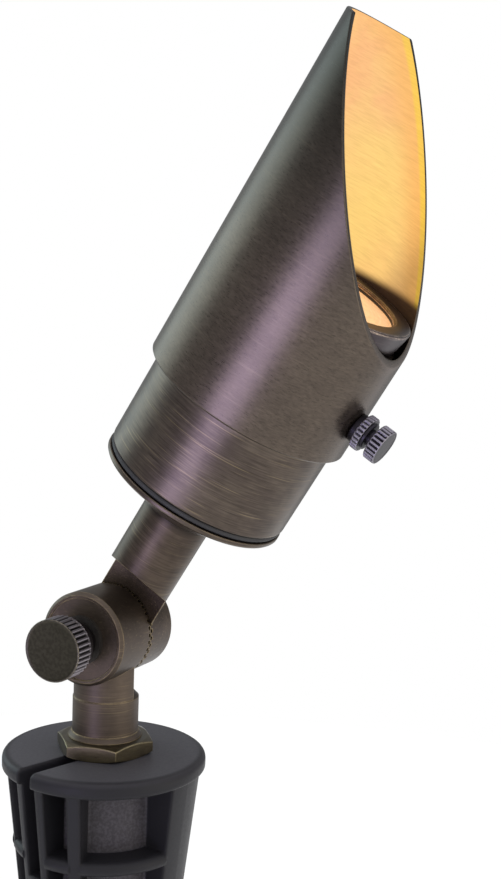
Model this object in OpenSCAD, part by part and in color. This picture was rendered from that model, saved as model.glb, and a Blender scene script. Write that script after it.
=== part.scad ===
// Garden spike spotlight with a tilting head and a sliding glare shroud.
// Millimetres. Z runs up the stem, the knuckle axis runs along Y with its knob on the -Y side,
// the head leans toward +X, and z = 0 is the underside of the spike's top lip, the ground line.

/* [Pose and layout] */
// Lean of the head from vertical
head_tilt = 31.5; // [0:0.5:60]
// Height of the knuckle axis above the ground line
pivot_z = 44; // [40:0.5:60]
// Gap left at a seat where two bodies turn on each other
seat_gap = 0.1; // [0.05:0.05:0.3]
// Radial clearance of a shaft that turns or slides in its hole
run_clear = 0.06; // [0.01:0.01:0.1]
// Radial clearance between pieces that are screwed or seated together
fit_clear = 0.1; // [0.05:0.01:0.3]
// Extra length of a cutting tool past the face it leaves
over = 1; // [0.5:0.5:3]

/* [Ground spike] */
// Radius of the spike's top lip
lip_r = 32.4; // [28:0.1:40]
// Thickness of the top lip
lip_h = 5; // [3:0.5:8]
// Rounding of the lip's upper edge
lip_round = 2; // [0.5:0.1:2.4]
// Body radius just below the lip
body_r = 30.8; // [25:0.1:36]
// Body radius at the lower end of the round part
body_low_r = 25.6; // [20:0.1:30]
// Height of the round part below the lip
body_h = 46; // [30:1:80]
// Depth of the point below the ground line
spike_depth = 190; // [120:5:260]
// Thickness of each fin
fin_t = 4.2; // [3:0.1:8]
// Fin reach from the axis where the fins leave the round part
fin_r = 23; // [15:0.5:28]
// Fin reach from the axis near the point
fin_tip_r = 2.6; // [2:0.1:6]
// Radius of the tip where the fins end
tip_r = 3.6; // [3:0.1:7]
// Radius of the blunt point
point_r = 0.5; // [0.2:0.1:2]
// Length of the sharpened tip
tip_len = 9; // [4:1:20]
// Radius of the core between the fins at its top
core_top_r = 6; // [4:0.1:12]
// Depth of the moulded pockets
pocket_depth = 11.5; // [2:0.5:13]
// Height of the upper pockets
pocket_h = 21; // [10:0.5:30]
// Distance from the lip down to the pockets
pocket_drop = 0.5; // [0.5:0.5:5]
// Height left solid below the lower pockets
pocket_foot = 4; // [2:0.5:6]
// Angle covered by a wide pocket
pocket_wide = 57; // [30:1:70]
// Angle covered by a narrow pocket
pocket_narrow = 16; // [8:1:30]
// Turn from the wire slot to the wide pocket on each side of it
pocket_turn = 64; // [60:0.5:80]
// Turn from the wire slot to the narrow pocket on each side of it
narrow_turn = 19.5; // [18:0.5:24]
// Height of the round bars between the upper and lower pockets
rib_h = 4.6; // [2:0.1:6]
// Stand-out of the round bars
rib_out = 0.5; // [0.3:0.1:2]
// Width of the wire slot
slot_w = 6; // [5:0.1:10]
// Direction of the wire slot
slot_dir = -107; // [-180:1:180]
// Depth of the wire slot below the ground line
slot_depth = 30; // [20:1:40]

/* [Stem and lock nut] */
// Radius of the plain stem
stem_r = 10.5; // [9:0.1:13]
// Radius of the stem's threaded end, drawn plain
stem_thread_r = 10.3; // [9:0.1:12]
// Length of the threaded end below the ground line
stem_thread_len = 22; // [12:1:30]
// Width of the lock nut across its flats
nut_af = 27.6; // [22:0.1:32]
// Height of the lock nut
nut_h = 5; // [4:0.1:8]
// Turn of the lock nut about the stem
nut_turn = 14.5; // [0:0.5:60]
// Radius of the nut's chamfer circle
nut_face_r = 13.5; // [12:0.1:15]
// Height of the nut's chamfers
nut_chamfer = 1; // [0.3:0.1:2]
// Radius of the flared collar at the foot of the stem
collar_r = 11.8; // [11:0.1:14]
// Height of the flared collar
collar_h = 1.6; // [1:0.1:3]
// Radius of the off-centre wire way
wire_r = 2.6; // [1.5:0.1:3.2]
// Offset of the stem's wire way from the stem axis
wire_off = 4.2; // [3:0.1:6]
// Offset of the arm's wire way from the head axis
arm_wire_off = 5.4; // [3:0.1:6]

/* [Knuckle] */
// Radius of the two knuckle discs
disc_r = 14.75; // [12:0.05:18]
// Distance from the stem axis to the near disc's outer face
disc_t = 15; // [10:0.5:18]
// Distance from the stem axis to the far disc's outer face
far_t = 17.6; // [16:0.1:20]
// Offset of the seam from the stem axis toward the far face
seam_off = 2; // [-3:0.1:3]
// Bevel on the near disc's rim
disc_bevel = 1; // [0.5:0.1:2]
// Bevel on the far disc's rim
far_bevel = 2.6; // [0.5:0.1:4]
// Depth of the dished face inside the bevelled rim
dish_depth = 0.4; // [0.2:0.1:1]
// Radius of the dished face
dish_r = 12.9; // [10:0.1:13.5]
// Distance from the knuckle axis to where the stem becomes round
step_len = 19.4; // [16:0.1:22]
// Distance from the knuckle axis to the arm's shoulder at the seam
arm_step = 20; // [18:0.1:26]
// Slope of the arm's shoulder, which rises toward the knob side
arm_slope = 27; // [0:0.5:30]
// Offset of the stem's cut-away flat from the stem axis
stem_flat = 0; // [-0.5:0.1:2]
// Chamfer on the cut-away side of the stem
step_chamfer = 1.8; // [0.5:0.1:3]
// How much slimmer the stem's half-round neck is
neck_less = 0.25; // [0:0.05:1]
// Number of grip teeth round each seam face
teeth = 40; // [24:2:60]
// Depth of each grip tooth
tooth_depth = 1.1; // [0.5:0.1:2]
// Width of the gap between grip teeth
tooth_w = 1.1; // [0.5:0.1:2]
// Inner radius of the toothed band
tooth_in_r = 11.6; // [10:0.1:13]
// Outer radius of the wire chamber between the discs
chamber_r = 10.6; // [8:0.1:12]
// Inner radius of the wire chamber
chamber_in_r = 6.4; // [5:0.1:8]
// Depth of the wire chamber in each disc
chamber_depth = 5.5; // [2:0.1:6]

/* [Knuckle knob] */
// Radius of the knob's threaded shank, drawn plain
shank_r = 4; // [3:0.1:5]
// Length of the shank beyond the seam
shank_reach = 12; // [6:0.5:14]
// Radius of the knurled knob
knob_r = 9.55; // [7:0.05:12]
// Length of the knurled band
knob_band = 7; // [5:0.1:14]
// Radius of the smooth shoulder behind the knurling
knob_smooth_r = 8.7; // [6:0.1:8.8]
// Length of the smooth shoulder
knob_smooth = 2.4; // [1:0.1:6]
// Length of the cone behind the smooth shoulder
knob_cone = 1.6; // [1:0.1:6]
// Radius of the knob's neck
knob_neck_r = 5.8; // [5:0.1:8]
// Length of the knob's neck
knob_neck = 4; // [1:0.1:6]
// Bevel on the knob's outer face
knob_bevel = 0.5; // [0.2:0.1:1.5]
// Number of knurl grooves on the knob
knob_grooves = 36; // [20:2:60]
// Radius of each knurl groove's three-cornered cutter
knob_cut_r = 0.62; // [0.2:0.01:1]
// Radius of the washer under the knob
washer_r = 7.6; // [6:0.1:10]
// Thickness of the washer
washer_t = 1.4; // [0.8:0.1:3]

/* [Arm and rear cap] */
// Radius of the arm
arm_r = 11; // [9:0.1:13]
// Distance from the knuckle axis to the rear cap
cap_s = 48.5; // [40:0.5:60]
// Radius of the arm's threaded end, drawn plain
spigot_r = 9.2; // [7:0.1:10]
// Length of the arm's threaded end
spigot_len = 13; // [8:0.5:16]
// Radius of the cap's small end
cap_small_r = 13; // [12:0.1:16]
// Height of the cap's cone
cap_cone = 7.7; // [4:0.1:12]
// How far the cap's shoulder lies inside the housing's outer radius
cap_shoulder_in = 2.2; // [1:0.1:5]
// Height from the cap's shoulder to its rim face
cap_rim_h = 2.2; // [1.9:0.1:5]
// Height from the cap's rim face to the floor inside its plug
cap_floor_h = 1.6; // [0:0.1:4]
// Length of the cap's plug inside the housing
cap_plug = 7.6; // [4:0.1:12]
// Wall of the cap's plug
cap_plug_wall = 2.9; // [2:0.1:5]
// Small bevel on the rims of the turned pieces
rim_bevel = 0.45; // [0.2:0.05:1]

/* [Housing and lens] */
// Outer radius of the housing
house_r = 29.6; // [25:0.1:34]
// Wall of the housing
house_wall = 2.2; // [1.5:0.1:4]
// Width of the seal groove between cap and housing
seal_gap = 2.2; // [2:0.1:3]
// Section radius of the seal ring between cap and housing
seal_r = 0.95; // [0.6:0.05:1.4]
// Height of the lens ring's flange past the housing
bezel_flange = 8.7; // [3:0.1:12]
// How far the lens ring's flange stands out past the housing
bezel_out = 0.5; // [0:0.1:0.9]
// Depth of the lens ring's undercut
bezel_under = 0.9; // [0.3:0.1:1.5]
// How far the lens ring's lip covers the glass
lens_cover = 1.6; // [1:0.1:4]
// Wall of the lens ring round the glass
bezel_wall = 1.1; // [0.8:0.1:3]
// Thickness of the lens glass
glass_t = 3; // [2:0.1:5]
// Thickness of the lens ring's front lip
bezel_lip = 1.2; // [0.8:0.1:2]
// Thickness of the lens gasket
gasket_t = 0.8; // [0.5:0.1:2]
// Length of the lens ring's plug inside the housing
bezel_plug = 8.5; // [4:0.5:14]

/* [Shroud] */
// Gap between the housing and the shroud
shroud_gap = 1.4; // [1.2:0.1:3]
// Wall of the shroud
shroud_wall = 1.5; // [1:0.1:3]
// Distance from the housing's rear edge to the shroud's rear edge
shroud_start = 29.6; // [20:0.1:35]
// Length of the shroud
shroud_len = 109.8; // [80:0.1:150]
// Distance from the shroud's rear edge to the lowest point of the slanted mouth
mouth_start = 33.2; // [22:0.1:50]
// Slant of the mouth from square
mouth_angle = 54; // [30:0.5:65]
// Distance from the shroud's rear edge to the slip ring inside it
slip_start = 21.8; // [20:0.1:26]
// Width of the slip ring
slip_w = 3.6; // [2:0.1:6]
// Depth of the slip ring's groove in the housing
slip_groove = 0.7; // [0.3:0.1:1.2]

/* [Shroud screw] */
// Distance from the shroud's rear edge to the shroud screw
screw_start = 13.1; // [8:0.1:14]
// Radius of the screw's shank
screw_r = 2.5; // [1.5:0.1:3]
// Radius of the screw's knurled head
screw_head_r = 5.55; // [4:0.05:8]
// Thickness of the screw's knurled head
screw_head_t = 3.7; // [2:0.1:6]
// Bare shank between the lock ring and the screw's head
screw_gap = 1.7; // [1:0.1:3]
// Radius of the knurled lock ring
lock_r = 5.6; // [4:0.1:8]
// Height of the lock ring's smooth hub against the shroud
lock_hub = 1.8; // [1:0.1:3]
// Radius of the lock ring's smooth hub
lock_hub_r = 4.5; // [3:0.1:5]
// Thickness of the lock ring's knurled band
lock_band = 2.4; // [2:0.1:5]
// Height of the lock ring's smooth shoulder
lock_shoulder = 0.9; // [0.5:0.1:2]
// Radius of the lock ring's smooth shoulder
lock_shoulder_r = 4.3; // [3:0.1:5]
// Number of knurl grooves on the screw and the lock ring
screw_grooves = 24; // [16:2:40]
// Radius of each small groove's three-cornered cutter
screw_cut_r = 0.5; // [0.2:0.01:1]
// Radius of the soft tip of the screw
pad_r = 2; // [1:0.1:2.3]
// Length of the soft tip
pad_len = 2.2; // [1:0.1:3]

/* [Lamp] */
// Gap between the lamp's face ring and the housing
lamp_gap = 2.4; // [1:0.1:4]
// Gap between the lamp's face and the glass
lens_gap = 1.9; // [0.2:0.1:3]
// Thickness of the lamp's face ring
face_t = 3.4; // [2:0.1:6]
// Width of the face ring outside its cooling slots
face_rim = 4.4; // [3:0.1:6]
// Length of a cooling slot
vent_len = 2.8; // [1:0.1:3.5]
// Number of cooling slots
vents = 20; // [12:1:36]
// Angle covered by each cooling slot
vent_angle = 9; // [4:0.5:15]
// Radius of the lamp's clear optic
optic_r = 12.6; // [10:0.1:16]
// Thickness of the optic's plate
optic_t = 3; // [2:0.1:6]
// Radius of each of the optic's three domes
dome_r = 5.2; // [3:0.1:6]
// Radius of the ball that shapes each dome
dome_ball_r = 7.5; // [5:0.1:12]
// Height of each dome
dome_h = 1.6; // [0.5:0.1:2.4]
// Distance of the domes and light chips from the lamp axis
chip_off = 6.6; // [4:0.1:8]
// Width of each light chip
chip_w = 3.4; // [1:0.1:5]
// Thickness of each light chip
chip_t = 1; // [0.5:0.1:2]
// Thickness of the chip board
board_t = 1.6; // [1:0.1:3]
// Radius of the chip board
board_r = 12; // [9:0.1:13]
// Height from the top of the cooling core to the face ring
core_rise = 8.1; // [6:0.1:12]
// Radius of the cooling core
core_r = 14; // [10:0.1:18]
// Length of the cooling core
core_len = 16; // [10:0.5:24]
// Radius of the foot of the cooling core
core_foot_r = 11.5; // [8:0.1:14]
// How far the fin collar lies inside the face ring
fin_collar_in = 0.8; // [0:0.1:3]
// Height of the fin collar
fin_collar_h = 5; // [3:0.1:8]
// Wall of the fin collar
fin_collar_wall = 2.4; // [1:0.1:4]
// Fin radius at the foot of the lamp
fin_foot_r = 17.5; // [12:0.1:20]
// Thickness of each cooling fin
lamp_fin_t = 1.8; // [1:0.1:3]
// Number of cooling fins
lamp_fins = 16; // [8:1:30]
// Width of the lamp's base
base_w = 19; // [14:0.5:24]
// Depth of the lamp's base
base_d = 12; // [8:0.5:16]
// Height of the lamp's base
base_h = 10; // [6:0.5:16]
// Radius of a lamp pin
pin_r = 0.75; // [0.5:0.05:1]
// Distance between the two pins
pin_gap = 5.3; // [4:0.1:7]
// Length of the lamp pins
pin_len = 8; // [5:0.5:10]

/* [Socket] */
// Width of the lamp socket
socket_w = 20; // [15:0.5:26]
// Depth of the lamp socket
socket_d = 14.5; // [9:0.5:18]
// Height of the lamp socket
socket_h = 15.8; // [10:0.1:20]
// Radius of a wire lead
lead_r = 0.85; // [0.4:0.05:1.2]
// Length of the leads inside the arm, below its threaded end
lead_in = 18.5; // [10:0.5:22]
// Thickness of the bracket's sheet
sheet_t = 1.2; // [0.8:0.1:2]
// Gap between the bracket's corners and the cap's plug
bracket_gap = 1.1; // [0.3:0.1:3]
// Width of the bracket's sheet
bracket_w = 17; // [16.5:0.5:20]
// Gap between a bracket foot and the arm's threaded end
foot_gap = 1; // [0.5:0.1:3]
// Height of the bracket above its feet
bracket_h = 10.8; // [5:0.1:16]
// Radius of a bracket screw's shank
mount_r = 1.5; // [1:0.1:2]
// Depth of a bracket screw in the cap's floor
mount_depth = 4; // [2:0.1:6]
// Radius of a bracket screw's head
mount_head_r = 2.5; // [2:0.1:4]
// Height of a bracket screw's head
mount_head_h = 1.9; // [1:0.1:3]
// Radius of the grommet's flange
grommet_r = 3.7; // [3:0.1:4]
// Thickness of the grommet's flange
grommet_t = 1; // [0.5:0.1:2]
// Length of the grommet's sleeve
grommet_len = 4; // [2:0.1:8]
// Bore radius of the grommet
grommet_bore_r = 2; // [1.9:0.05:2.4]

/* [Hidden] */
$fn = 128;
round_fn = 24;
half = 0.5;
quarter_turn = 90;
full_turn = 360;
round_steps = 4;
lap_turn = 1;
far = 400;
third = 1 / 3;
lip_foot = (lip_h - lip_round) * third;
rib_low = pocket_drop + pocket_h + rib_h;
rib_r = body_at(rib_low - rib_h * half) + rib_out - rib_h * half;
slit_w = mount_r * half;
nut_top = lip_h + nut_h;
nut_corner_r = nut_af * half / cos(30);
collar_z = nut_top + seat_gap;
step_z = pivot_z - step_len;
seam = seat_gap * half;
near_floor = disc_t - dish_depth;
knob_seat = near_floor + washer_t + seat_gap * half;
knob_cone_y = knob_seat + knob_neck;
knob_smooth_y = knob_cone_y + knob_cone;
knob_band_y = knob_smooth_y + knob_smooth;
knob_face_y = knob_band_y + knob_band;
cap_shoulder_s = cap_s + cap_cone;
cap_shoulder_r = house_r - cap_shoulder_in;
cap_rim_s = cap_shoulder_s + cap_rim_h;
cap_floor_s = cap_rim_s + cap_floor_h;
cap_plug_s = cap_rim_s + cap_plug;
house_s = cap_rim_s + seal_gap;
house_in_r = house_r - house_wall;
plug_r = house_in_r - fit_clear;
cap_dish_r = plug_r - cap_plug_wall;
spigot_end_s = cap_s + spigot_len;
lead_end_s = cap_s - lead_in;
foot_top_s = cap_floor_s + seat_gap * half + sheet_t;
bracket_x = sqrt(pow(cap_dish_r, 2) - pow(bracket_w * half, 2)) - bracket_gap;
foot_len = bracket_x - spigot_r - foot_gap;
mount_x = bracket_x - (foot_len + sheet_t) * half;
bracket_top_s = foot_top_s + bracket_h;
socket_foot_s = bracket_top_s + seat_gap * half;
socket_top_s = socket_foot_s + socket_h;
base_foot_s = socket_top_s + seat_gap;
core_foot_s = base_foot_s + base_h;
core_s = core_foot_s + core_len;
core_top_s = core_s + core_rise;
lamp_s = core_top_s + face_t;
lamp_r = house_in_r - lamp_gap;
vent_out_r = lamp_r - face_rim;
vent_in_r = vent_out_r - vent_len;
fin_collar_r = lamp_r - fin_collar_in;
glass_top_s = lamp_s + lens_gap + glass_t;
gasket_top_s = glass_top_s + gasket_t + seat_gap * half;
lip_under_s = gasket_top_s + seat_gap * half;
bezel_s = lip_under_s + bezel_lip;
house_end_s = bezel_s - bezel_flange;
bezel_r = house_r + bezel_out;
bezel_low_r = house_r - bezel_under;
bezel_in_r = plug_r - bezel_wall;
glass_r = bezel_in_r - fit_clear;
lens_open_r = glass_r - lens_cover;
shroud_in_r = house_r + shroud_gap;
shroud_r = shroud_in_r + shroud_wall;
shroud_s = house_s + shroud_start;
shroud_end_s = shroud_s + shroud_len;
mouth_s = shroud_s + mouth_start;
slip_s = shroud_s + slip_start;
screw_s = shroud_s + screw_start;
lock_seat = shroud_r + seat_gap;
lock_band_x = lock_seat + lock_hub;
lock_top = lock_band_x + lock_band + lock_shoulder;
screw_face = lock_top + screw_gap + screw_head_t;
pad_x = house_r + seat_gap * half;

// Colours of the materials
bronze = [0.27, 0.24, 0.21];
brass = [0.52, 0.44, 0.28];
black = [0.08, 0.08, 0.09];
gunmetal = [0.18, 0.17, 0.2];
steel = [0.7, 0.7, 0.72];
ivory = [0.86, 0.83, 0.74];
clear = [0.9, 0.93, 0.97];
amber = [1, 0.8, 0.5];

// Helpers

// The head's own frame: Z along the head, X toward the shroud screw
module in_head() {
    translate([0, 0, pivot_z])
        rotate([0, head_tilt, 0])
            children();
}

// A frame for the knuckle: Z points out of the near face
module in_knuckle() {
    translate([0, 0, pivot_z])
        rotate([90, 0, 0])
            children();
}

// A frame for the shroud screw: Z points away from the head
module in_screw() {
    in_head()
        translate([0, 0, screw_s])
            rotate([0, 90, 0])
                children();
}

module tube(r_out, r_in, h) {
    difference() {
        cylinder(r = r_out, h = h);
        translate([0, 0, -over])
            cylinder(r = r_in, h = h + 2 * over);
    }
}

// Straight knurl grooves round a cylinder that stands on z = 0
module grooves(count, r, cut_r, h) {
    for (i = [0 : count - 1])
        rotate([0, 0, i * full_turn / count])
            translate([r, 0, 0])
                rotate([0, 0, full_turn * half])
                    cylinder(r = cut_r, h = h, $fn = 3);
}

// Radial gaps between the grip teeth, opening at z = 0 and cut toward +Z
module tooth_gaps() {
    for (i = [0 : teeth - 1])
        rotate([0, 0, i * full_turn / teeth])
            translate([tooth_in_r, -tooth_w * half, -over])
                cube([disc_r - tooth_in_r + seat_gap, tooth_w, tooth_depth + over]);
}

// A ring-shaped chamber cut from z = 0 toward +Z
module chamber_cut() {
    translate([0, 0, -over])
        tube(chamber_r, chamber_in_r, chamber_depth + over);
}

// Ground spike

// Radius of the tapered body at a depth below the ground line
function body_at(depth) = body_r - (body_r - body_low_r) * depth / body_h;

// Direction from the wire slot and sweep of each pocket
function pocket_places() = [[pocket_turn, pocket_wide], [-pocket_turn, pocket_wide],
    [full_turn * half, pocket_wide], [narrow_turn, pocket_narrow], [-narrow_turn, pocket_narrow]];

// An upper pocket and the lower one beneath it, in one cut
module pocket_cut(dir, sweep) {
    translate([0, 0, pocket_foot - body_h])
        rotate([0, 0, dir - sweep * half])
            rotate_extrude(angle = sweep)
                translate([body_r - pocket_depth, 0])
                    square([pocket_depth + over, body_h - pocket_foot - pocket_drop]);
}

// The bar with a rounded front that parts an upper pocket from a lower one
module pocket_bar(dir, sweep) {
    translate([0, 0, -rib_low])
        rotate([0, 0, dir - sweep * half - lap_turn])
            rotate_extrude(angle = sweep + 2 * lap_turn)
                polygon([[body_r - pocket_depth - over, 0],
                    for (i = [0 : 2 * round_steps])
                        [rib_r + rib_h * half * sin(i * quarter_turn / round_steps),
                            rib_h * half * (1 - cos(i * quarter_turn / round_steps))],
                    [body_r - pocket_depth - over, rib_h]]);
}

module ground_spike() {
    color(black)
        union() {
            difference() {
                union() {
                    rotate_extrude()
                        polygon([[0, -body_h], [body_low_r, -body_h], [body_r, 0],
                            for (i = [0 : round_steps])
                                [lip_r - lip_foot * (1 - sin(i * quarter_turn / round_steps)),
                                    lip_foot * (1 - cos(i * quarter_turn / round_steps))],
                            for (i = [0 : round_steps])
                                [lip_r - lip_round * (1 - cos(i * quarter_turn / round_steps)),
                                    lip_h - lip_round * (1 - sin(i * quarter_turn / round_steps))],
                            [0, lip_h]]);
                    for (turn = [0, quarter_turn])
                        rotate([0, 0, slot_dir + turn])
                            rotate([90, 0, 0])
                                translate([0, 0, -fin_t * half])
                                    linear_extrude(fin_t)
                                        polygon([[-fin_r, over - body_h], [fin_r, over - body_h],
                                            [fin_tip_r, tip_len - spike_depth],
                                            [-fin_tip_r, tip_len - spike_depth]]);
                    translate([0, 0, -spike_depth])
                        cylinder(r1 = point_r, r2 = tip_r, h = tip_len);
                    translate([0, 0, tip_len - spike_depth])
                        cylinder(r1 = tip_r, r2 = core_top_r, h = spike_depth - tip_len - body_h + over);
                }
                translate([0, 0, -slot_depth])
                    cylinder(r = stem_thread_r + run_clear, h = slot_depth + lip_h + over);
                for (place = pocket_places())
                    pocket_cut(slot_dir + place[0], place[1]);
                rotate([0, 0, slot_dir])
                    translate([0, -slot_w * half, -slot_depth])
                        cube([lip_r + over, slot_w, slot_depth + lip_h + over]);
            }
            for (place = pocket_places())
                pocket_bar(slot_dir + place[0], place[1]);
        }
}

// Stem and lock nut

module lock_nut() {
    color(brass)
        translate([0, 0, lip_h])
            rotate([0, 0, nut_turn])
            difference() {
                intersection() {
                    cylinder(r = nut_corner_r, h = nut_h, $fn = 6);
                    rotate_extrude()
                        polygon([[0, 0], [nut_face_r, 0], [nut_corner_r, nut_chamfer],
                            [nut_corner_r, nut_h - nut_chamfer], [nut_face_r, nut_h], [0, nut_h]]);
                }
                translate([0, 0, -over])
                    cylinder(r = stem_thread_r + run_clear, h = nut_h + 2 * over);
            }
}

module stem_knuckle() {
    color(bronze)
        difference() {
            union() {
                translate([0, 0, -stem_thread_len])
                    cylinder(r = stem_thread_r, h = stem_thread_len + collar_z + over);
                translate([0, 0, collar_z])
                    cylinder(r1 = collar_r, r2 = stem_r + neck_less, h = collar_h);
                translate([0, 0, collar_z])
                    cylinder(r = stem_r, h = step_z - step_chamfer - collar_z);
                translate([0, 0, step_z - step_chamfer])
                    cylinder(r1 = stem_r, r2 = stem_r - step_chamfer, h = step_chamfer);
                intersection() {
                    translate([0, 0, step_z - step_chamfer])
                        cylinder(r = stem_r - neck_less, h = step_len + step_chamfer);
                    translate([-far * half, stem_flat - far, 0])
                        cube([far, far, far]);
                }
                in_knuckle()
                    translate([0, 0, seam - seam_off])
                        cylinder(r = disc_r, h = disc_t + seam_off - seam - disc_bevel);
                in_knuckle()
                    translate([0, 0, disc_t - disc_bevel])
                        cylinder(r1 = disc_r, r2 = disc_r - disc_bevel, h = disc_bevel);
            }
            in_knuckle()
                translate([0, 0, near_floor])
                    cylinder(r = dish_r, h = dish_depth + over);
            in_knuckle()
                translate([0, 0, -seam_off - over])
                    cylinder(r = shank_r + run_clear, h = disc_t + seam_off + 2 * over);
            in_knuckle()
                translate([0, 0, seam - seam_off]) {
                    tooth_gaps();
                    chamber_cut();
                }
            translate([0, -wire_off, -stem_thread_len - over])
                cylinder(r = wire_r, h = stem_thread_len + over + pivot_z - chamber_in_r);
        }
}

// Knuckle screw

module knuckle_washer() {
    color(steel)
        in_knuckle()
            translate([0, 0, near_floor])
                tube(washer_r, shank_r + run_clear, washer_t);
}

module knuckle_knob() {
    color(gunmetal)
        in_knuckle()
            difference() {
                union() {
                    translate([0, 0, -shank_reach])
                        cylinder(r = shank_r, h = shank_reach + knob_seat + over);
                    translate([0, 0, knob_seat])
                        cylinder(r = knob_neck_r, h = knob_neck);
                    translate([0, 0, knob_cone_y])
                        cylinder(r1 = knob_neck_r, r2 = knob_smooth_r, h = knob_cone);
                    translate([0, 0, knob_smooth_y])
                        cylinder(r = knob_smooth_r, h = knob_smooth + over);
                    translate([0, 0, knob_band_y])
                        cylinder(r = knob_r, h = knob_band - knob_bevel);
                    translate([0, 0, knob_face_y - knob_bevel])
                        cylinder(r1 = knob_r, r2 = knob_r - knob_bevel, h = knob_bevel);
                }
                translate([0, 0, knob_band_y - over])
                    grooves(knob_grooves, knob_r, knob_cut_r, knob_band - 2 * knob_bevel + over);
            }
}

// Arm and head shell

// The half of the arm's lower end that is cut away, up to its sloping shoulder
module shoulder_cut() {
    rotate([90, 0, 90])
        translate([0, 0, -far * half])
            linear_extrude(far)
                polygon([[seam_off + seam, -over], [seam_off + seam, arm_step],
                    [seam_off + seam - 2 * arm_r, arm_step + 2 * arm_r * tan(arm_slope)],
                    [seam_off + seam - 2 * arm_r, -over]]);
}

module arm_knuckle() {
    color(bronze)
        in_head()
            difference() {
                union() {
                    difference() {
                        cylinder(r = arm_r, h = cap_s - seat_gap);
                        shoulder_cut();
                    }
                    translate([0, 0, cap_s - over])
                        cylinder(r = spigot_r, h = spigot_len + over);
                    rotate([-90, 0, 0])
                        translate([0, 0, seam_off + seam])
                            cylinder(r = disc_r, h = far_t - seam_off - seam - far_bevel);
                    rotate([-90, 0, 0])
                        translate([0, 0, far_t - far_bevel])
                            cylinder(r1 = disc_r, r2 = disc_r - far_bevel, h = far_bevel);
                }
                rotate([-90, 0, 0])
                    translate([0, 0, -over])
                        cylinder(r = shank_r + run_clear, h = shank_reach + 2 * over);
                rotate([-90, 0, 0])
                    translate([0, 0, seam_off + seam]) {
                        tooth_gaps();
                        chamber_cut();
                    }
                translate([0, arm_wire_off, chamber_in_r])
                    cylinder(r = wire_r, h = spigot_end_s);
            }
}

module rear_cap() {
    color(bronze)
        in_head()
            difference() {
                rotate_extrude()
                    polygon([[spigot_r + fit_clear, cap_s], [cap_small_r, cap_s],
                        [cap_shoulder_r, cap_shoulder_s], [house_r - rim_bevel, cap_shoulder_s + rim_bevel],
                        [house_r, cap_shoulder_s + 2 * rim_bevel], [house_r, cap_rim_s - rim_bevel],
                        [house_r - rim_bevel, cap_rim_s], [plug_r, cap_rim_s], [plug_r, cap_plug_s],
                        [cap_dish_r, cap_plug_s], [cap_dish_r, cap_floor_s],
                        [spigot_r + fit_clear, cap_floor_s]]);
                for (side = [-1, 1])
                    translate([side * mount_x, 0, cap_floor_s - mount_depth - fit_clear])
                        cylinder(r = mount_r + fit_clear, h = mount_depth + fit_clear + over);
            }
}

module cap_seal_ring() {
    color(black)
        in_head()
            translate([0, 0, (cap_rim_s + house_s) * half])
                rotate_extrude()
                    translate([plug_r + seal_r + fit_clear, 0])
                        circle(r = seal_r, $fn = round_fn);
}

module housing() {
    color(bronze)
        in_head()
            difference() {
                rotate_extrude()
                    polygon([[house_in_r, house_s], [house_r - rim_bevel, house_s],
                        [house_r, house_s + rim_bevel], [house_r, house_end_s - rim_bevel],
                        [house_r - rim_bevel, house_end_s], [house_in_r, house_end_s]]);
                translate([0, 0, slip_s - seat_gap])
                    tube(house_r + over, house_r - slip_groove, slip_w + 2 * seat_gap);
            }
}

module lens_ring() {
    color(bronze)
        in_head()
            rotate_extrude()
                polygon([[bezel_in_r, house_end_s - bezel_plug], [plug_r, house_end_s - bezel_plug],
                    [plug_r, house_end_s + seat_gap], [bezel_low_r, house_end_s + seat_gap],
                    [bezel_r, bezel_s - bezel_lip * half], [bezel_r - rim_bevel, bezel_s],
                    [lens_open_r + rim_bevel, bezel_s], [lens_open_r, bezel_s - rim_bevel],
                    [lens_open_r, lip_under_s], [bezel_in_r, lip_under_s]]);
}

module lens_gasket() {
    color(black)
        in_head()
            translate([0, 0, gasket_top_s - gasket_t])
                tube(glass_r, lens_open_r + fit_clear, gasket_t);
}

module lens_glass() {
    color(clear)
        in_head()
            translate([0, 0, glass_top_s - glass_t])
                cylinder(r = glass_r, h = glass_t);
}

// Lamp

module lamp_face_ring() {
    color(gunmetal)
        in_head()
            difference() {
                rotate_extrude()
                    polygon([[optic_r + fit_clear, core_top_s], [lamp_r, core_top_s],
                        [lamp_r, lamp_s - 2 * rim_bevel], [lamp_r - rim_bevel, lamp_s - rim_bevel],
                        [lamp_r - 2 * rim_bevel, lamp_s - rim_bevel],
                        [optic_r + 2 * rim_bevel, lamp_s - rim_bevel],
                        [optic_r + rim_bevel, lamp_s], [optic_r + fit_clear, lamp_s]]);
                for (i = [0 : vents - 1])
                    rotate([0, 0, i * full_turn / vents])
                        translate([0, 0, core_top_s - over])
                            rotate_extrude(angle = vent_angle)
                                translate([vent_in_r, 0])
                                    square([vent_out_r - vent_in_r, face_t + 2 * over]);
            }
}

module lamp_optic() {
    color(clear)
        in_head()
            translate([0, 0, lamp_s - rim_bevel - optic_t]) {
                cylinder(r = optic_r, h = optic_t - dome_h);
                for (i = [0 : 2])
                    rotate([0, 0, i * full_turn / 3])
                        translate([chip_off, 0, 0])
                            intersection() {
                                cylinder(r = dome_r, h = optic_t);
                                translate([0, 0, optic_t - dome_ball_r])
                                    sphere(r = dome_ball_r);
                            }
            }
}

module lamp_light_chips() {
    color(amber)
        in_head()
            for (i = [0 : 2])
                rotate([0, 0, i * full_turn / 3])
                    translate([chip_off - chip_w * half, -chip_w * half, core_s + board_t])
                        cube([chip_w, chip_w, chip_t]);
}

module lamp_chip_board() {
    color(ivory)
        in_head()
            translate([0, 0, core_s])
                cylinder(r = board_r, h = board_t);
}

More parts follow.
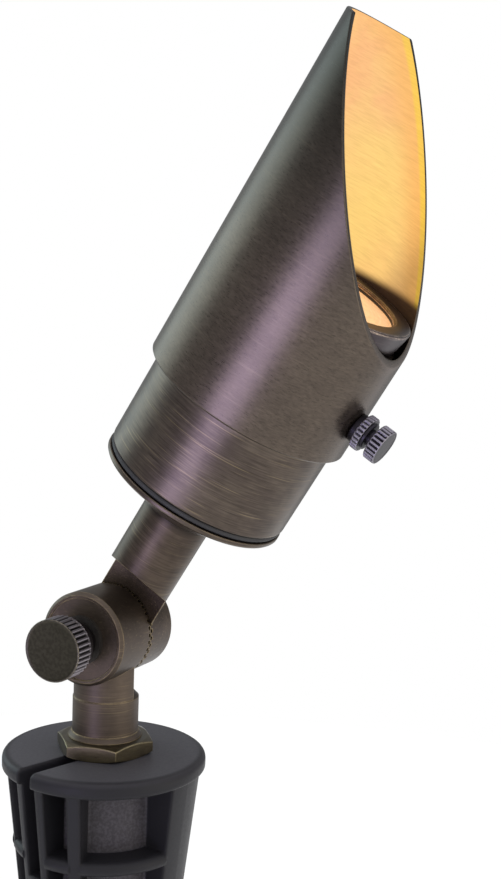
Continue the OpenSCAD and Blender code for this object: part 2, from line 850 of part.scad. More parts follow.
module lamp_cooler() {
    color(gunmetal)
        in_head()
            union() {
                translate([0, 0, core_foot_s])
                    cylinder(r1 = core_foot_r, r2 = core_r, h = core_s - core_foot_s);
                translate([0, 0, core_top_s - fin_collar_h])
                    tube(fin_collar_r, fin_collar_r - fin_collar_wall, fin_collar_h);
                for (i = [0 : lamp_fins - 1])
                    rotate([0, 0, i * full_turn / lamp_fins])
                        rotate([90, 0, 0])
                            translate([0, 0, -lamp_fin_t * half])
                                linear_extrude(lamp_fin_t)
                                    polygon([[core_foot_r - over, core_foot_s], [fin_foot_r, core_foot_s],
                                        [fin_collar_r - over, core_top_s - fin_collar_h + over],
                                        [core_r - over, core_s]]);
            }
}

module lamp_base() {
    color(ivory)
        in_head()
            difference() {
                translate([-base_w * half, -base_d * half, base_foot_s])
                    cube([base_w, base_d, base_h]);
                for (side = [-1, 1])
                    translate([side * pin_gap * half, 0, base_foot_s - over])
                        cylinder(r = pin_r, h = pin_r + over);
            }
}

module lamp_pins() {
    color(steel)
        in_head()
            for (side = [-1, 1])
                translate([side * pin_gap * half, 0, base_foot_s - pin_len])
                    cylinder(r = pin_r, h = pin_len + pin_r);
}

// Socket

module lamp_socket() {
    color(ivory)
        in_head()
            difference() {
                translate([-socket_w * half, -socket_d * half, socket_foot_s])
                    cube([socket_w, socket_d, socket_h]);
                for (side = [-1, 1]) {
                    translate([side * pin_gap * half, 0, base_foot_s - pin_len - over])
                        cylinder(r = pin_r + run_clear, h = pin_len + 2 * over);
                    translate([side * (lead_r + fit_clear), arm_wire_off, socket_foot_s - over])
                        cylinder(r = lead_r + run_clear, h = 3 * over);
                }
            }
}

module socket_bracket() {
    color(steel)
        in_head()
            difference() {
                union() {
                    translate([-bracket_x, -bracket_w * half, bracket_top_s - sheet_t])
                        cube([2 * bracket_x, bracket_w, sheet_t]);
                    for (side = [-1, 1]) {
                        translate([side * (bracket_x - sheet_t * half) - sheet_t * half,
                            -bracket_w * half, foot_top_s - sheet_t])
                            cube([sheet_t, bracket_w, bracket_top_s - foot_top_s + sheet_t]);
                        translate([side * (bracket_x - foot_len * half) - foot_len * half,
                            -bracket_w * half, foot_top_s - sheet_t])
                            cube([foot_len, bracket_w, sheet_t]);
                    }
                }
                translate([0, arm_wire_off, bracket_top_s - sheet_t - over])
                    cylinder(r = wire_r, h = sheet_t + 2 * over);
                for (side = [-1, 1])
                    translate([side * mount_x, 0, foot_top_s - sheet_t - over])
                        cylinder(r = mount_r + fit_clear, h = sheet_t + 2 * over);
            }
}

module bracket_screws() {
    color(steel)
        in_head()
            for (side = [-1, 1])
                translate([side * mount_x, 0, 0])
                    difference() {
                        union() {
                            translate([0, 0, cap_floor_s - mount_depth])
                                cylinder(r = mount_r, h = foot_top_s - cap_floor_s + mount_depth + over);
                            translate([0, 0, foot_top_s + seat_gap * half])
                                cylinder(r = mount_head_r, h = mount_head_h);
                        }
                        translate([-far * half, -slit_w * half, foot_top_s + mount_head_h - slit_w])
                            cube([far, slit_w, far]);
                    }
}

module socket_leads() {
    color(black)
        in_head()
            for (side = [-1, 1])
                translate([side * (lead_r + fit_clear), arm_wire_off, lead_end_s])
                    cylinder(r = lead_r, h = socket_foot_s - lead_end_s + over);
}

module arm_grommet() {
    color(black)
        in_head()
            translate([0, arm_wire_off, spigot_end_s])
                difference() {
                    union() {
                        translate([0, 0, -grommet_len])
                            cylinder(r = wire_r - fit_clear, h = grommet_len + over);
                        translate([0, 0, seat_gap * half])
                            cylinder(r = grommet_r, h = grommet_t);
                    }
                    translate([0, 0, -grommet_len - over])
                        cylinder(r = grommet_bore_r, h = grommet_len + grommet_t + 3 * over);
                }
}

// Shroud and its screw

module shroud() {
    color(bronze)
        difference() {
            in_head()
                rotate_extrude()
                    polygon([[shroud_in_r, shroud_s], [shroud_r - rim_bevel, shroud_s],
                        [shroud_r, shroud_s + rim_bevel], [shroud_r, shroud_end_s],
                        [shroud_in_r, shroud_end_s]]);
            in_head()
                translate([shroud_r, 0, mouth_s])
                    rotate([0, mouth_angle, 0])
                        translate([-far * half, -far * half, 0])
                            cube([far, far, far]);
            in_screw()
                cylinder(r = screw_r + run_clear, h = shroud_r + over);
        }
}

module shroud_slip_ring() {
    color(black)
        in_head()
            translate([0, 0, slip_s])
                tube(shroud_in_r - run_clear, house_r - slip_groove + run_clear, slip_w);
}

module shroud_screw_tip() {
    color(ivory)
        in_screw()
            translate([0, 0, pad_x])
                cylinder(r = pad_r, h = pad_len);
}

module shroud_screw() {
    color(gunmetal)
        in_screw()
            difference() {
                union() {
                    translate([0, 0, pad_x + pad_len + seat_gap * half])
                        cylinder(r = screw_r, h = screw_face - screw_head_t - pad_x - pad_len);
                    translate([0, 0, screw_face - screw_head_t])
                        cylinder(r = screw_head_r, h = screw_head_t - rim_bevel);
                    translate([0, 0, screw_face - rim_bevel])
                        cylinder(r1 = screw_head_r, r2 = screw_head_r - rim_bevel, h = rim_bevel);
                }
                translate([0, 0, screw_face - screw_head_t - over])
                    grooves(screw_grooves, screw_head_r, screw_cut_r, screw_head_t - 2 * rim_bevel + over);
            }
}

module shroud_lock_ring() {
    color(gunmetal)
        in_screw()
            difference() {
                union() {
                    translate([0, 0, lock_seat])
                        cylinder(r = lock_hub_r, h = lock_hub + over);
                    translate([0, 0, lock_band_x])
                        cylinder(r = lock_r, h = lock_band);
                    translate([0, 0, lock_band_x])
                        cylinder(r = lock_shoulder_r, h = lock_band + lock_shoulder);
                }
                translate([0, 0, lock_band_x])
                    grooves(screw_grooves, lock_r, screw_cut_r, lock_band + over);
                translate([0, 0, lock_seat - over])
                    cylinder(r = screw_r + run_clear, h = lock_top - lock_seat + 2 * over);
            }
}

ground_spike();
lock_nut();
stem_knuckle();
knuckle_washer();
knuckle_knob();
arm_knuckle();
rear_cap();
cap_seal_ring();
housing();
lens_ring();
lens_gasket();
lens_glass();
lamp_face_ring();
lamp_optic();
lamp_light_chips();
lamp_chip_board();
lamp_cooler();
lamp_base();
lamp_pins();
lamp_socket();
socket_bracket();
bracket_screws();
socket_leads();
arm_grommet();
shroud();
shroud_slip_ring();
shroud_screw_tip();
shroud_screw();
shroud_lock_ring();
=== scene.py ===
import math

import bmesh
import bpy
from mathutils import Matrix, Vector


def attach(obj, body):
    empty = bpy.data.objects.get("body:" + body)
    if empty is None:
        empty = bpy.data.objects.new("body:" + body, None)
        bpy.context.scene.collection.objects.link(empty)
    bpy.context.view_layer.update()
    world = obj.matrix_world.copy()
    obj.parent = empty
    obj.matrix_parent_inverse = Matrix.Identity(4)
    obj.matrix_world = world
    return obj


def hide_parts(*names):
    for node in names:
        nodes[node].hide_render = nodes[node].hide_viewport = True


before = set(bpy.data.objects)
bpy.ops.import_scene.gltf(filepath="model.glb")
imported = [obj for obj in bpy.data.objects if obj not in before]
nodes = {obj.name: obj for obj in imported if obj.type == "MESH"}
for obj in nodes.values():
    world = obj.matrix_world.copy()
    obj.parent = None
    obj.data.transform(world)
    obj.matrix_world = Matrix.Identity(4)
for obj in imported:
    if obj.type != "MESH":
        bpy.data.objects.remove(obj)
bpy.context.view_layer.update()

# Sizes in millimetres, those of the main forms the same as in the solids

MM = 0.001
SEAT_GAP = 0.1
FIT_CLEAR = 0.1
PIVOT_Z = 44
HEAD_TILT = 31.5

# Spike and lock nut, upward from the ground line
SPIKE_DEPTH = 190
LIP_R = 32.4
LIP_H = 5
POCKET_FLOOR_R = 19.3
NUT_H = 5
NUT_TOP = LIP_H + NUT_H
NUT_AF = 27.6
NUT_TURN = 14.5
NUT_FACE_R = 13.5
NUT_CHAMFER = 1

# Knuckle knob, outward from the stem's axis
WASHER_FLOOR = 14.6
WASHER_T = 1.4
KNOB_SEAT = WASHER_FLOOR + WASHER_T + SEAT_GAP / 2
KNOB_CONE = KNOB_SEAT + 4
KNOB_COLLAR = KNOB_CONE + 1.6
KNOB_BAND = KNOB_COLLAR + 2.4
KNOB_FACE = KNOB_BAND + 7
KNOB_R = 9.55
KNOB_FACE_R = 9.0

# Head, along its own axis from the knuckle
CAP_S = 48.5
CAP_SHOULDER_S = CAP_S + 7.7
CAP_RIM_S = CAP_SHOULDER_S + 2.2
HOUSE_S = CAP_RIM_S + 2.2
LENS_RING_S = 132.5
HOUSE_END_S = LENS_RING_S - 8.7
HOUSE_R = 29.6
HOUSE_IN_R = HOUSE_R - 2.2
PLUG_R = HOUSE_IN_R - FIT_CLEAR
LENS_OPEN_R = 24.5

# Shroud, with its mouth cut off at a slant
SHROUD_IN_R = HOUSE_R + 1.4
SHROUD_R = SHROUD_IN_R + 1.5
SHROUD_S = HOUSE_S + 29.6
SHROUD_END_S = SHROUD_S + 109.8
MOUTH_S = SHROUD_S + 33.2
MOUTH_ANGLE = math.radians(54)
SLIP_S = SHROUD_S + 21.8
SLIP_W = 3.6

# Shroud screw and its lock ring, outward from the head's axis
SCREW_S = SHROUD_S + 13.1
SCREW_END = HOUSE_R + SEAT_GAP + 2.2
LOCK_SEAT = SHROUD_R + SEAT_GAP
LOCK_BAND = LOCK_SEAT + 1.8
LOCK_BAND_END = LOCK_BAND + 2.4
LOCK_TOP = LOCK_BAND_END + 0.9
SCREW_HEAD = LOCK_TOP + 1.7
SCREW_FACE = SCREW_HEAD + 3.7
SCREW_FACE_R = 4.6

# Frames in metres, whose Z is the axis that their pieces are turned about
PIVOT = Matrix.Translation((0, 0, PIVOT_Z * MM))
HEAD = PIVOT @ Matrix.Rotation(math.radians(HEAD_TILT), 4, "Y")
KNUCKLE = PIVOT @ Matrix.Rotation(math.radians(90), 4, "X")
SCREW = HEAD @ Matrix.Translation((0, 0, SCREW_S * MM)) @ Matrix.Rotation(math.radians(90), 4, "Y")
UPRIGHT = Matrix.Identity(4)

# Mesh helpers

FILLET_STEPS = 4


def rounded(points):
    """A closed outline of (r, z, fillet) with its corners rounded."""
    outline = []
    for i, (r, z, fillet) in enumerate(points):
        if not fillet:
            outline.append((r, z))
            continue
        corner = Vector((r, z))
        to_last = Vector(points[i - 1][:2]) - corner
        to_next = Vector(points[(i + 1) % len(points)][:2]) - corner
        half = to_last.angle(to_next) / 2
        reach = min(fillet / math.tan(half), 0.48 * to_last.length, 0.48 * to_next.length)
        start = corner + to_last.normalized() * reach
        end = corner + to_next.normalized() * reach
        for step in range(FILLET_STEPS + 1):
            u = step / FILLET_STEPS
            point = start * (1 - u) ** 2 + corner * 2 * u * (1 - u) + end * u * u
            outline.append((point.x, point.y))
    return outline


def object_from(name, bm, matrix):
    """An object from a mesh in millimetres, with its place in the mesh."""
    bmesh.ops.recalc_face_normals(bm, faces=bm.faces)
    mesh = bpy.data.meshes.new(name)
    bm.to_mesh(mesh)
    bm.free()
    mesh.transform(matrix @ Matrix.Scale(MM, 4))
    obj = bpy.data.objects.new(name, mesh)
    bpy.context.scene.collection.objects.link(obj)
    return obj


def finish_mesh(obj, angle):
    """Smooth shading that stays sharp at edges over an angle in degrees."""
    mesh = obj.data
    mesh.polygons.foreach_set("use_smooth", [True] * len(mesh.polygons))
    mesh.set_sharp_from_angle(angle=math.radians(angle))
    normals = obj.modifiers.new("weighted", "WEIGHTED_NORMAL")
    normals.keep_sharp = True
    return obj


def drill(obj, matrix, radius, reach):
    """Cuts a round hole along local Z, from the origin out to a reach."""
    bm = bmesh.new()
    middle = Matrix.Translation((0, 0, reach / 2))
    bmesh.ops.create_cone(
        bm, cap_ends=True, segments=64, radius1=radius, radius2=radius, depth=reach, matrix=middle)
    cutter = object_from("drill", bm, matrix)
    hole = obj.modifiers.new("hole", "BOOLEAN")
    hole.object = cutter
    hole.solver = "EXACT"
    graph = bpy.context.evaluated_depsgraph_get()
    drilled = bpy.data.meshes.new_from_object(obj.evaluated_get(graph))
    obj.modifiers.remove(hole)
    whole = obj.data
    obj.data = drilled
    drilled.name = obj.name
    bit = cutter.data
    bpy.data.objects.remove(cutter)
    bpy.data.meshes.remove(bit)
    bpy.data.meshes.remove(whole)


def revolve(name, outline, matrix, segments=256, radius=None, closed=True, angle=32):
    """Turns an outline of (r, z) about Z. radius(r, z, turn) may shape each ring."""
    bm = bmesh.new()
    rings = []
    for r, z in outline:
        if r == 0:
            rings.append([bm.verts.new((0, 0, z))])
            continue
        ring = []
        for j in range(segments):
            turn = 2 * math.pi * j / segments
            reach = radius(r, z, turn) if radius else r
            ring.append(bm.verts.new((reach * math.cos(turn), reach * math.sin(turn), z)))
        rings.append(ring)
    bands = list(zip(rings, rings[1:]))
    if closed:
        bands.append((rings[-1], rings[0]))
    for a, b in bands:
        for j in range(segments):
            k = (j + 1) % segments
            corners = [a[j % len(a)], a[k % len(a)], b[k % len(b)], b[j % len(b)]]
            # A ring of one point, on the axis, gives triangles
            face = [v for n, v in enumerate(corners) if v not in corners[:n]]
            if len(face) > 2:
                bm.faces.new(face)
    return finish_mesh(object_from(name, bm, matrix), angle)


def dress(obj, node, body, slot, *materials):
    """Puts a piece on a body in place of a node, with its materials. The slot is not used."""
    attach(obj, body)
    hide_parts(node)
    for material in materials:
        obj.data.materials.append(material)


# Material helpers


class Graph:
    """A short way to write a node graph."""

    def __init__(self, tree):
        self.tree = tree
        tree.nodes.clear()

    def add(self, kind, values, **props):
        node = self.tree.nodes.new(kind)
        for key, value in props.items():
            setattr(node, key, value)
        for key, value in values.items():
            if isinstance(value, bpy.types.NodeSocket):
                self.tree.links.new(value, node.inputs[key])
            else:
                node.inputs[key].default_value = value
        return node

    def read(self, kind, output):
        """An output of a node that has no inputs to set."""
        return self.add(kind, {}).outputs[output]

    def math(self, operation, a, b, c=0.0):
        return self.add("ShaderNodeMath", {0: a, 1: b, 2: c}, operation=operation).outputs[0]

    def times(self, a, b):
        return self.math("MULTIPLY", a, b)

    def dot(self, a, b):
        return self.add("ShaderNodeVectorMath", {0: a, 1: b}, operation="DOT_PRODUCT").outputs["Value"]

    def length(self, vector):
        return self.add("ShaderNodeVectorMath", {0: vector}, operation="LENGTH").outputs["Value"]

    def vector(self, operation, a, b):
        return self.add("ShaderNodeVectorMath", {0: a, 1: b}, operation=operation).outputs[0]

    def split(self, vector):
        """The x, y and z of a vector."""
        return self.add("ShaderNodeSeparateXYZ", {0: vector}).outputs

    def join(self, x, y, z):
        return self.add("ShaderNodeCombineXYZ", {0: x, 1: y, 2: z}).outputs[0]

    def mix(self, share, a, b):
        """A blend of two colours, which are sockets 6, 7 and 2 of the mix node."""
        values = {0: share, 6: a, 7: b}
        return self.add("ShaderNodeMix", values, data_type="RGBA", clamp_factor=True).outputs[2]

    def ramp(self, value, low, high, to_low=0.0, to_high=1.0, smooth=True):
        """to_low where the value is low, to_high where it is high, and a blend between."""
        return self.add(
            "ShaderNodeMapRange",
            {0: value, 1: low, 2: high, 3: to_low, 4: to_high},
            interpolation_type="SMOOTHSTEP" if smooth else "LINEAR",
        ).outputs[0]

    def rise(self, place, start, end, gain=1.0):
        """0 at a start and the gain at an end, both in millimetres, for a place in metres."""
        return self.ramp(place, start * MM, end * MM, 0.0, gain)

    def noise(self, vector, scale, detail=2.0, rough=0.5, w=None):
        values = {"Vector": vector, "Scale": scale, "Detail": detail, "Roughness": rough}
        if w is None:
            return self.add("ShaderNodeTexNoise", values, noise_dimensions="3D").outputs[0]
        values["W"] = w
        return self.add("ShaderNodeTexNoise", values, noise_dimensions="4D").outputs[0]

    def stretch(self, vector, scale):
        return self.add("ShaderNodeMapping", {"Vector": vector, "Scale": scale}).outputs[0]

    def bevel(self, radius):
        """A normal that runs smoothly round the edges of the mesh."""
        return self.add("ShaderNodeBevel", {"Radius": radius}, samples=6).outputs[0]

    def bump(self, height, strength, distance, normal=None):
        values = {"Strength": strength, "Distance": distance, "Height": height}
        if normal is not None:
            values["Normal"] = normal
        return self.add("ShaderNodeBump", values).outputs[0]

    def output(self, shader, kind="ShaderNodeOutputMaterial"):
        self.add(kind, {0: shader.outputs[0]})

    def surface(self, values):
        """Ends a material with one surface shader."""
        self.output(self.add("ShaderNodeBsdfPrincipled", values))


def rgb(*color):
    return (*color, 1.0)


def start_material(name):
    material = bpy.data.materials.new(name)
    material.use_nodes = True
    return material, Graph(material.node_tree)


def local_coords(g, matrix):
    """Coordinates in the frame of a turned piece, for an object that sits at the origin."""
    coord = g.read("ShaderNodeTexCoord", "Object")
    back = matrix.inverted()
    place = {"Vector": coord, "Location": back.to_translation(), "Rotation": tuple(back.to_euler())}
    return g.add("ShaderNodeMapping", place).outputs[0]


def axis_radius(g, coord):
    """The distance of a point from its piece's axis."""
    parts = g.split(coord)
    return g.length(g.join(parts[0], parts[1], 0.0))


def two_tone(g, fine, wide):
    """A blend from 0 to 1 that follows two noises in equal parts."""
    return g.ramp(g.math("ADD", g.times(fine, 0.5), g.times(wide, 0.5)), 0.36, 0.64)


# What most of the turned metals share: roughness, shortness of the marks, radius of worn edges in mm
TURNED_ROUGH = 0.31
TURNED_GRAIN = 110
TURNED_EDGE_R = 0.5


def turning_marks(g, coord, outward, across, along, detail, roughness):
    """Noise drawn out into fine rings round the axis."""
    drawn_out = g.stretch(coord, (across, across, along))
    return g.noise(drawn_out, 1.0, detail, roughness, g.times(outward, along))


def fine_marks(g, coord, outward, grain):
    """The finest of the turning marks."""
    return turning_marks(g, coord, outward, grain, 2600, 3.0, 0.65)


def turned_surface(g, color, marks, soft_normal, lines, rough):
    """Ends a turned metal, whose marks show in its gloss and its bump."""
    g.surface({
        "Base Color": color,
        "Metallic": 0.92,
        "Roughness": g.ramp(marks, 0.25, 0.75, rough - 0.05, rough + 0.09, smooth=False),
        "Normal": g.bump(marks, 0.22 * lines, 0.06 * MM, soft_normal),
        "Coat Weight": 0.08,
        "Coat Roughness": 0.34,
        "Coat IOR": 1.6,
    })


def turned_metal(
    name,
    base,
    dark,
    worn,
    matrix,
    lines,
    rough=TURNED_ROUGH,
    grain=TURNED_GRAIN,
    rings=1.0,
    edge_r=TURNED_EDGE_R,
    edge_gain=0.8,
    tones=None,
):
    """Metal turned on a lathe about local Z, with fine rings, patina blotches and rubbed edges.

    lines is how strong the turning marks are and grain how short. rings is 1 where they show on
    flat faces too, and 0 where they don't. tones(g, color, coord) may change the colour.
    """
    material, g = start_material(name)
    coord = local_coords(g, matrix)
    outward = g.times(axis_radius(g, coord), rings)
    fine = fine_marks(g, coord, outward, grain)
    broad = turning_marks(g, coord, outward, 60, 1100, 2.0, 0.5)
    scratch = g.ramp(turning_marks(g, coord, outward, 48, 2500, 2.0, 0.55), 0.58, 0.72)
    blotch = g.noise(coord, 95.0, 3.0, 0.55)
    patina = g.ramp(g.math("ADD", g.times(blotch, 0.85), g.times(broad, 0.15)), 0.36, 0.64)
    color = g.mix(patina, rgb(*dark), rgb(*base))
    line_gain = g.ramp(fine, 0.3, 0.7, 1.0 - 0.5 * lines, 1.0 + 0.5 * lines, smooth=False)
    color = g.vector("MULTIPLY", color, g.join(line_gain, line_gain, line_gain))
    color = g.mix(g.times(scratch, 0.42 * lines), color, rgb(*worn))
    # Edges are where the bevelled normal parts from the true one
    soft_normal = g.bevel(edge_r * MM)
    same = g.dot(soft_normal, g.read("ShaderNodeNewGeometry", "Normal"))
    edge = g.ramp(g.math("SUBTRACT", 1.0, same), 0.004, 0.10)
    rubbed = g.ramp(g.noise(coord, 420.0), 0.3, 0.62)
    edge = g.times(edge, g.math("MULTIPLY_ADD", rubbed, 0.6, 0.4))
    color = g.mix(g.times(edge, edge_gain), color, rgb(*worn))
    if tones:
        color = tones(g, color, coord)
    turned_surface(g, color, fine, soft_normal, lines, rough)
    return material


def plain(name, base, other, rough, scale, metallic=0.0, bump=0.15, sockets=None):
    """A moulded, ground or coated surface with grain."""
    material, g = start_material(name)
    coord = g.read("ShaderNodeTexCoord", "Object")
    grain = g.noise(coord, scale, 4.0, 0.6)
    wide = g.noise(coord, scale * 0.08, 3.0, 0.5)
    g.surface({
        "Base Color": g.mix(two_tone(g, grain, wide), rgb(*base), rgb(*other)),
        "Metallic": metallic,
        "Roughness": g.ramp(grain, 0.3, 0.7, rough - 0.06, rough + 0.06, smooth=False),
        "Normal": g.bump(grain, bump, 0.1 * MM),
        **(sockets or {}),
    })
    return material


# Where light and shade are painted on turned pieces, and where the knob's face is duller


def shroud_tip_shade(g, color, coord):
    """The shroud is painted darker toward its tip: painted shade."""
    s = g.split(coord)[2]
    depth = g.ramp(s, (MOUTH_S + 8.6) * MM, (SHROUD_END_S - 8) * MM, 0.0, 0.92, smooth=False)
    return g.mix(depth, color, rgb(0.022, 0.021, 0.017))


def arm_cap_shade(g, color, coord):
    """The arm is painted darker in the corner where it meets the rear cap: painted shade under the cap."""
    s = g.split(coord)[2]
    return g.mix(g.rise(s, CAP_S - 3.7, CAP_S - 0.3, 0.85), color, rgb(0.018, 0.014, 0.012))


def knob_light_and_shade(g, color, coord):
    """Painted highlights on the ridges of the knob's band and painted shade in its grooves, a dull face,
    and painted shade on the neck behind the band.
    """
    radius = axis_radius(g, coord)
    z = g.split(coord)[2]
    # Painted highlights on the band's ridges and painted shade in its grooves
    ridge_highlight = g.rise(radius, KNOB_R - 0.65, KNOB_R - 0.1)
    knurl_highlights_and_shade = g.mix(ridge_highlight, rgb(0.024, 0.02, 0.02), rgb(0.3, 0.275, 0.3))
    band_start = g.rise(z, KNOB_BAND - 0.05, KNOB_BAND + 0.15)
    band_end = g.rise(z, KNOB_FACE - 0.25, KNOB_FACE - 0.55)
    color = g.mix(g.times(band_start, band_end), color, knurl_highlights_and_shade)
    patch = g.ramp(g.noise(coord, 900.0, 3.0), 0.35, 0.65)
    dull = g.mix(patch, rgb(0.031, 0.028, 0.017), rgb(0.045, 0.041, 0.026))
    face = g.rise(z, KNOB_FACE - 0.35, KNOB_FACE - 0.15)
    inside = g.rise(radius, KNOB_FACE_R + 0.1, KNOB_FACE_R - 0.2)
    color = g.mix(g.times(face, inside), color, dull)
    # Painted shade on the neck behind the band
    neck = g.rise(z, KNOB_BAND + 0.15, KNOB_BAND - 0.05)
    return g.mix(neck, color, rgb(0.03, 0.025, 0.028))


# Turned metals

BRONZE = (0.105, 0.083, 0.066)
BRONZE_DARK = (0.075, 0.058, 0.048)
BRONZE_WORN = (0.42, 0.33, 0.19)

bronze_head = turned_metal("bronze_head", BRONZE, BRONZE_DARK, BRONZE_WORN, HEAD, lines=0.75)
bronze_stem = turned_metal(
    "bronze_stem", (0.1, 0.077, 0.06), (0.078, 0.06, 0.048), BRONZE_WORN, UPRIGHT, lines=0.4, rough=0.46)
nut_metal = turned_metal(
    "nut_metal", (0.14, 0.115, 0.07), (0.09, 0.075, 0.05), (0.5, 0.42, 0.24), UPRIGHT, lines=0.25)
bronze_arm = turned_metal(
    "bronze_arm", (0.088, 0.066, 0.05), (0.062, 0.046, 0.036), BRONZE_WORN, HEAD, lines=0.7, rough=0.38,
    tones=arm_cap_shade)
bronze_shroud = turned_metal(
    "bronze_shroud", BRONZE, (0.095, 0.075, 0.06), (0.2, 0.16, 0.115), HEAD, lines=0.62, rough=0.29,
    grain=620, tones=shroud_tip_shade)
dark_metal = turned_metal(
    "dark_metal", (0.066, 0.059, 0.046), (0.05, 0.044, 0.036), (0.55, 0.48, 0.36), KNUCKLE, lines=0.2,
    rings=0.0, tones=knob_light_and_shade)
bronze_ring = turned_metal(
    "bronze_ring", (0.07, 0.055, 0.06), (0.05, 0.04, 0.044), (0.85, 0.68, 0.55), HEAD, lines=0.3,
    edge_r=0.8, edge_gain=1.0)


def gun_metal_material():
    """Painted highlights on the ridges and painted shade in the grooves of the small screw and its lock
    ring, and a dark face on the screw.
    """
    material, g = start_material("gun_metal")
    coord = local_coords(g, SCREW)
    radius = axis_radius(g, coord)
    z = g.split(coord)[2]
    groove_r = 4.95
    ridge_r = 5.45
    # Painted highlights on the ridges and painted shade in the grooves
    knurl_highlights_and_shade = g.mix(g.rise(radius, groove_r, ridge_r), rgb(0.026, 0.023, 0.031), rgb(0.25, 0.235, 0.275))
    face = g.rise(z, SCREW_FACE - 0.35, SCREW_FACE - 0.2)
    inside = g.rise(radius, SCREW_FACE_R + 0.1, SCREW_FACE_R - 0.1)
    color = g.mix(g.times(face, inside), knurl_highlights_and_shade, rgb(0.05, 0.046, 0.052))
    marks = fine_marks(g, coord, 0.0, TURNED_GRAIN)
    turned_surface(g, color, marks, g.bevel(TURNED_EDGE_R * MM), 0.25, TURNED_ROUGH)
    return material


gun_metal = gun_metal_material()

# Plain materials

steel = plain("steel", (0.5, 0.5, 0.51), (0.62, 0.62, 0.62), 0.3, 900, metallic=0.95, bump=0.1)
# The washer is painted dark, as painted shade, so that it sinks into the shade behind the knob
washer_steel_shaded = plain(
    "washer_steel_shaded", (0.075, 0.068, 0.064), (0.095, 0.088, 0.082), 0.5, 1600, metallic=0.9, bump=0.05)
rubber = plain("black_rubber", (0.018, 0.018, 0.02), (0.028, 0.028, 0.03), 0.6, 1400)
ceramic = plain("ivory_ceramic", (0.74, 0.69, 0.55), (0.82, 0.78, 0.66), 0.45, 700)
board = plain("board_white", (0.78, 0.78, 0.75), (0.85, 0.85, 0.83), 0.5, 600)
sleeve = plain("lead_sleeve", (0.03, 0.03, 0.03), (0.05, 0.05, 0.05), 0.55, 1200)
nylon = plain("tip_nylon", (0.7, 0.67, 0.58), (0.8, 0.78, 0.7), 0.5, 900)
lamp_grey = plain("lamp_grey", (0.07, 0.07, 0.085), (0.11, 0.11, 0.13), 0.42, 1300, metallic=0.7)
optic = plain(
    "optic_clear", (0.9, 0.93, 0.97), (0.95, 0.97, 1.0), 0.12, 900, bump=0.05,
    sockets={"Transmission Weight": 0.9, "IOR": 1.49})
chips = plain(
    "light_chip", (1.0, 0.75, 0.36), (1.0, 0.82, 0.45), 0.4, 1800,
    sockets={"Emission Color": rgb(1.0, 0.6, 0.25), "Emission Strength": 4.0})


def spike_material():
    """Moulded plastic, smooth outside and roughly cast on the floors of the pockets, with light painted on
    the lip's top and on the pocket floors.
    """
    material, g = start_material("spike_plastic")
    coord = g.read("ShaderNodeTexCoord", "Object")
    radius = axis_radius(g, coord)
    z = g.split(coord)[2]
    grain = g.noise(coord, 1300.0, 3.0, 0.6)
    wide = g.noise(coord, 90.0, 3.0, 0.5)
    cast = g.noise(coord, 1150.0, 3.0, 0.6)
    color = g.mix(two_tone(g, grain, wide), rgb(0.026, 0.025, 0.031), rgb(0.034, 0.032, 0.039))
    # Painted light: the lip is painted lighter than the body, most of all on its upward faces, and its
    # rounded edge less
    under_lip = g.rise(z, LIP_H * 0.95, LIP_H * 0.6)
    color = g.mix(under_lip, color, rgb(0.017, 0.0165, 0.02))
    faces_up = g.ramp(g.split(g.read("ShaderNodeNewGeometry", "Normal"))[2], 0.6, 0.95)
    lip_top_painted_light = g.times(faces_up, g.rise(z, LIP_H * 0.3, LIP_H * 0.7))
    color = g.mix(lip_top_painted_light, color, rgb(0.074, 0.072, 0.082))
    lip_edge_painted_light = g.times(g.rise(radius, LIP_R - 3.1, LIP_R - 1.2), g.rise(z, LIP_H * 0.74, LIP_H * 0.94))
    color = g.mix(lip_edge_painted_light, color, rgb(0.03, 0.0285, 0.033))
    below_lip = g.rise(z, -0.2, -1.2)
    pocket_floor = g.times(g.rise(radius, POCKET_FLOOR_R + 0.6, POCKET_FLOOR_R + 0.2), below_lip)
    # The pocket floors keep their rough cast grain and are painted lighter: painted light in the pockets
    cast_grain_and_light = g.mix(g.ramp(cast, 0.38, 0.66), rgb(0.049, 0.045, 0.052), rgb(0.077, 0.071, 0.083))
    color = g.mix(pocket_floor, color, cast_grain_and_light)
    height = g.math("ADD", g.times(grain, 0.25), g.times(cast, pocket_floor))
    g.surface({
        "Base Color": color,
        "Roughness": g.ramp(grain, 0.3, 0.7, 0.4, 0.5, smooth=False),
        "Specular IOR Level": 0.2,
        "Normal": g.bump(height, 0.3, 0.25 * MM, g.bevel(1.6 * MM)),
    })
    return material


# Where the painted beam is brightest on the shroud's wall, in millimetres in the head's frame
BRIGHT_SPOTS = ((-12.5, 28, 162), (-9, 29.6, 143.5))


